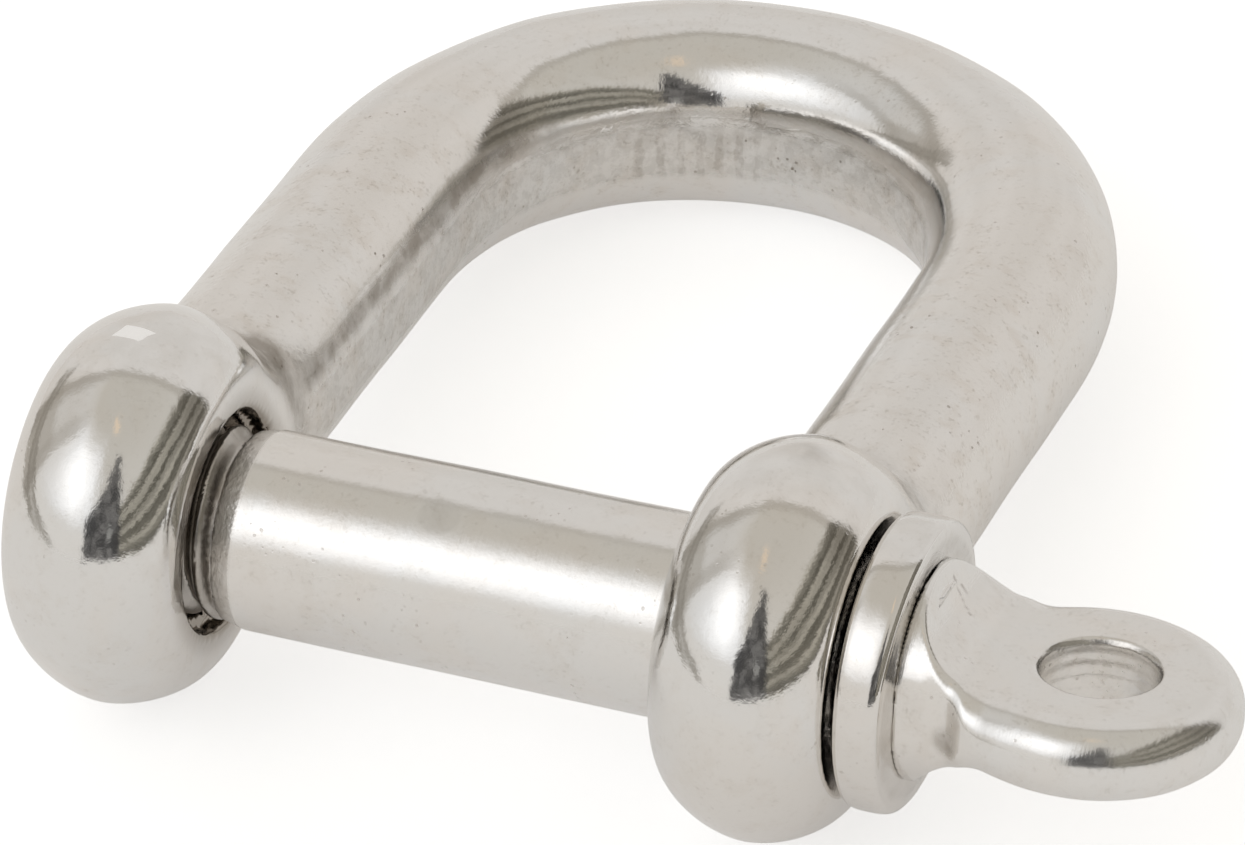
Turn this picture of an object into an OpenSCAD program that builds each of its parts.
// Shackle with a wide D bow and an eye-headed screw pin, lying flat.
// Origin: on the pin axis, midway between the two ears.
// +X runs along the pin towards its eye, +Y towards the bow, +Z is normal to the bow's plane.

/* [Bow] */
// Diameter of the round bar that the bow is bent from
bar_d = 10; // [9:0.5:10]
// Diameter of the bar at the crown of the bow
crown_bar_d = 10.2; // [10.1:0.1:10.6]
// Distance between the centre lines of the two legs
leg_spacing = 33.2; // [32:0.4:35.2]
// Length of the straight part of each leg, from the pin axis
leg_len = 31; // [24:1:40]
// Centre-line radius of the shoulder bends
shoulder_r = 23; // [20:1:30]
// Angle that each shoulder bend turns through
shoulder_deg = 24; // [20:1:34]

/* [Ears] */
// Outer diameter of each ear
ear_d = 19.8; // [18.6:0.2:21.4]
// Thickness of each ear along the pin
ear_w = 8.8; // [8.4:0.2:9.2]
// Clear width between the inner faces of the ears
jaw_w = 24.4; // [23.6:0.2:26]
// Width of the countersink at the hole mouths
mouth_c = 0.8; // [0.4:0.1:0.9]

/* [Pin] */
// Diameter of the plain shank
shank_d = 10; // [9.8:0.1:10.2]
// Diameter over the thread crests
thread_d = 9.5; // [9.2:0.1:9.6]
// Pitch of the thread
pitch = 1.5; // [1.25:0.25:1.5]
// Depth of the thread grooves
thread_depth = 0.7; // [0.4:0.1:0.9]
// Distance from the left ear's inner face to the end of the shank
shank_gap = 2.05; // [1.75:0.1:2.35]
// Length of the bevel at the end of the shank
shank_bevel = 1.1; // [0.7:0.1:1.2]
// Radial running clearance of the pin in the ears
run_c = 0.05; // [0.03:0.01:0.09]

/* [Collar] */
// Outer diameter of the collar
collar_d = 14.5; // [13.5:0.1:15.5]
// Thickness of the collar
collar_w = 2.2; // [2:0.1:3]
// Corner radius of the collar's rim
collar_c = 0.8; // [0.5:0.05:0.95]
// Gap left between the ear and the collar at rest
rest_gap = 0.2; // [0.1:0.05:0.5]

/* [Eye] */
// Outer diameter of the flat eye
eye_d = 14.6; // [13.6:0.2:16]
// Thickness of the flat eye
eye_t = 4.1; // [3.5:0.1:4.5]
// Diameter of the hole in the eye
eye_hole_d = 5.74; // [4.54:0.1:6.24]
// Distance from the origin to the centre of the eye
eye_x = 32; // [31.4:0.2:33]
// How far the hole sits outward of the eye's centre
hole_shift = 0.26; // [0:0.02:0.4]
// Angle of the eye's plane about the pin axis
eye_deg = -3.5; // [-10.5:1:9.5]
// Width of the neck between the root and the eye
neck_w = 10.9; // [10.3:0.2:11.9]
// Diameter of the root where it leaves the collar
root_d = 12.4; // [12:0.1:12.6]

/* [Hidden] */
$fn = 96;
body_color = [0.80, 0.79, 0.77];
collar_color = [0.76, 0.75, 0.74];
pin_color = [0.84, 0.83, 0.81];
cut_over = 1;  // how far cutters reach past a face

// Bow: the crown arc continues the shoulder arcs and closes the bow
leg_x = leg_spacing / 2;
shoulder_cx = leg_x - shoulder_r;
crown_r = (shoulder_cx + shoulder_r * cos(shoulder_deg)) / cos(shoulder_deg);
crown_cy = leg_len + (shoulder_r - crown_r) * sin(shoulder_deg);
bend_overlap = 1;  // degrees that a shoulder runs on into the crown
taper_y0 = 6.2;    // each leg widens from its ear between these two
taper_y1 = 9;
taper_inset = 0.4;

// Ears
ear_x = (jaw_w + ear_w) / 2;
ear_out = jaw_w / 2 + ear_w;
ear_rim = 3;        // radial depth of the rounded rim
ear_rim_pow = 1.2;  // 1 is an ellipse, more is flatter
bore_r = shank_d / 2 + run_c;
thread_bore_r = thread_d / 2 + run_c;
bore_groove_n = floor((ear_w - 1.2) / pitch);

// Stations and radii along the pin
tip_x = 0.4 - ear_out;
tip_bevel = 0.8;
thread_x0 = tip_x + 1.3;
shank_x0 = shank_gap - jaw_w / 2;
thread_x1 = shank_x0 - shank_bevel;
seat_x = ear_out + rest_gap;
joint_gap = 0.02;  // at either face of the collar
collar_x = seat_x + joint_gap;
root_x = collar_x + collar_w + joint_gap;
stem_r = shank_d / 2 - 0.5;  // pin radius inside the collar
collar_bore_r = stem_r + 0.05;
relief = 0.17;  // the shank is this much thinner in radius in the right ear

// Eye
edge_r = eye_t / 2;
rim_r = eye_d / 2 - edge_r;  // centre line of the rounded rim
hole_bevel = 0.3;

// points of an arc about a centre
function arc(centre, r, from, to, step) =
    [for (a = [from:step:to]) centre + r * [cos(a), sin(a)]];

// closes half an outline, given from the outside in, with its mirror image below y = 0
function mirrored(half) = concat(
    [for (p = half) [p[0], -p[1]]],
    [for (i = [len(half) - 1:-1:0]) half[i]]);

module along_x(x) {
    translate([x, 0, 0]) rotate([0, 90, 0]) children();
}

// round bar along a circular arc in the XY plane
module arc_bar(cx, cy, r, from, to, d) {
    translate([cx, cy, 0]) rotate([0, 0, from])
        rotate_extrude(angle = to - from) translate([r, 0]) circle(d = d);
}

// flattened ball: a disc with a rounded rim
module ear_solid(x) {
    h = ear_w / 2;
    rim = [for (a = [-90:15:90]) [
        ear_d / 2 - ear_rim + ear_rim * pow(cos(a), ear_rim_pow),
        h * sign(a) * pow(abs(sin(a)), ear_rim_pow)
    ]];
    along_x(x) rotate_extrude() polygon(concat([[0, -h]], rim, [[0, h]]));
}

// right leg with its taper and shoulder bend
module leg() {
    translate([leg_x, 0, 0]) rotate([-90, 0, 0]) {
        translate([0, 0, taper_y1]) cylinder(d = bar_d, h = leg_len - taper_y1);
        translate([0, 0, taper_y0])
            cylinder(r1 = ear_w / 2 - taper_inset, r2 = bar_d / 2, h = taper_y1 - taper_y0);
    }
    arc_bar(shoulder_cx, leg_len, shoulder_r, 0, shoulder_deg + bend_overlap, bar_d);
}

// cutter for an ear's bore and its countersunk mouths
module ear_bore(x, r) {
    h = ear_w / 2;
    mouth_r = r + mouth_c;
    along_x(x) rotate_extrude() polygon(mirrored([
        [0, h + cut_over], [mouth_r + cut_over, h + cut_over], [mouth_r, h], [r, h - mouth_c]
    ]));
}

// V-shaped ring cutters for the wall of the left bore
module bore_grooves() {
    inner_r = thread_bore_r - 0.5;
    root_r = thread_bore_r + 0.3;
    half_w = 0.62;
    for (i = [0:bore_groove_n - 1])
        along_x(-ear_x + (i - (bore_groove_n - 1) / 2) * pitch)
            rotate_extrude() polygon([[inner_r, -half_w], [root_r, 0], [inner_r, half_w]]);
}

module shackle_body() {
    color(body_color) difference() {
        union() {
            leg();
            mirror([1, 0, 0]) leg();
            ear_solid(ear_x);
            ear_solid(-ear_x);
            arc_bar(0, crown_cy, crown_r, shoulder_deg, 180 - shoulder_deg, crown_bar_d);
        }
        ear_bore(ear_x, bore_r);
        ear_bore(-ear_x, thread_bore_r);
        bore_grooves();
    }
}

// ring with a rounded rim between the right ear and the root of the eye
module pin_collar() {
    corner_r = collar_d / 2 - collar_c;
    color(collar_color) along_x(collar_x) rotate_extrude() polygon(concat(
        [[collar_bore_r, 0]],
        arc([corner_r, collar_c], collar_c, -90, 0, 15),
        arc([corner_r, collar_w - collar_c], collar_c, 0, 90, 15),
        [[collar_bore_r, collar_w]]));
}

// twelve-sided bar between two points of the eye's plane, its flats edge_r from its axis
module rail(from, to) {
    run = to - from;
    translate([from[0], from[1], 0]) rotate([0, 0, atan2(run[1], run[0])]) rotate([0, 90, 0])
        rotate([0, 0, 15]) cylinder(r = edge_r / cos(15), h = norm(run), $fn = 12);
}

// flat eye with a rounded rim, and its neck edged with rails
module eye_plate() {
    bend_y = neck_w / 2 - edge_r;
    join_deg = 60;  // where the neck meets the rim, from -X
    start = [root_x + 0.8, bend_y + 0.1];
    bend = [root_x + 3.8, bend_y];
    join = [eye_x - rim_r * cos(join_deg), rim_r * sin(join_deg)];
    rotate([eye_deg, 0, 0]) {
        translate([eye_x, 0, 0]) rotate_extrude() polygon(concat(
            [[0, -edge_r]], arc([rim_r, 0], edge_r, -90, 90, 18), [[0, edge_r]]));
        translate([0, 0, -edge_r]) linear_extrude(height = eye_t)
            polygon(mirrored([start, bend, join, [eye_x, join[1]]]));
        for (side = [-1, 1]) {
            path = [for (p = [start, bend, join]) [p[0], side * p[1]]];
            rail(path[0], path[1]);
            rail(path[1], path[2]);
        }
    }
}

// round root that narrows from the collar into the plate
module eye_root() {
    r = root_d / 2;
    neck_r = neck_w / 2;
    // radius, distance from root_x
    turned = [
        [0, 0], [r, 0], [r - 0.15, 0.35], [r - 0.45, 0.8], [neck_r + 0.3, 1.4],
        [neck_r + 0.1, 2.2], [neck_r, 3.2], [neck_r, 4.6], [0, 4.6]
    ];
    // distance from root_x, half thickness
    flank = [
        [-1 - root_x, r + 0.5], [0.5, r + 0.5], [0.7, 5.4], [1.2, 4.4],
        [2.1, 3.4], [3.3, 2.6], [5, edge_r - 0.2]
    ];
    intersection() {
        along_x(root_x) rotate_extrude() polygon(turned);
        rotate([eye_deg, 0, 0]) rotate([90, 0, 0]) translate([0, 0, -root_d])
            linear_extrude(height = 2 * root_d)
                polygon(mirrored([for (p = flank) p + [root_x, 0]]));
    }
}

// everything that is turned, from the tip to the stem inside the collar
module turned_pin() {
    crest_r = thread_d / 2;
    shank_r = shank_d / 2;
    groove_n = floor((thread_x1 - thread_x0) / pitch);
    half_w = pitch * 0.3;
    stem_end = root_x + 0.5;  // sunk into the root
    grooves = [
        for (i = [0:groove_n - 1])
            for (p = [[crest_r, -half_w], [crest_r - thread_depth, 0], [crest_r, half_w]])
                p + [0, thread_x0 + (i + 0.5) * pitch]
    ];
    along_x(0) rotate_extrude() polygon(concat(
        [[0, tip_x], [crest_r - tip_bevel, tip_x], [crest_r, tip_x + tip_bevel]],
        grooves,
        [
            [crest_r, thread_x1], [shank_r, shank_x0], [shank_r, jaw_w / 2],
            [shank_r - relief, jaw_w / 2], [shank_r - relief, seat_x],
            [stem_r, seat_x], [stem_r, stem_end], [0, stem_end]
        ]));
}

// cutter for the hole in the eye and its bevelled mouths
module eye_hole() {
    r = eye_hole_d / 2;
    top = edge_r + cut_over;
    rotate([eye_deg, 0, 0]) translate([eye_x + hole_shift, 0, 0]) rotate_extrude()
        polygon(mirrored([[0, top], [r + hole_bevel + cut_over, top], [r, edge_r - hole_bevel]]));
}

module screw_pin() {
    color(pin_color) difference() {
        union() {
            turned_pin();
            eye_root();
            eye_plate();
        }
        eye_hole();
    }
}

shackle_body();
pin_collar();
screw_pin();
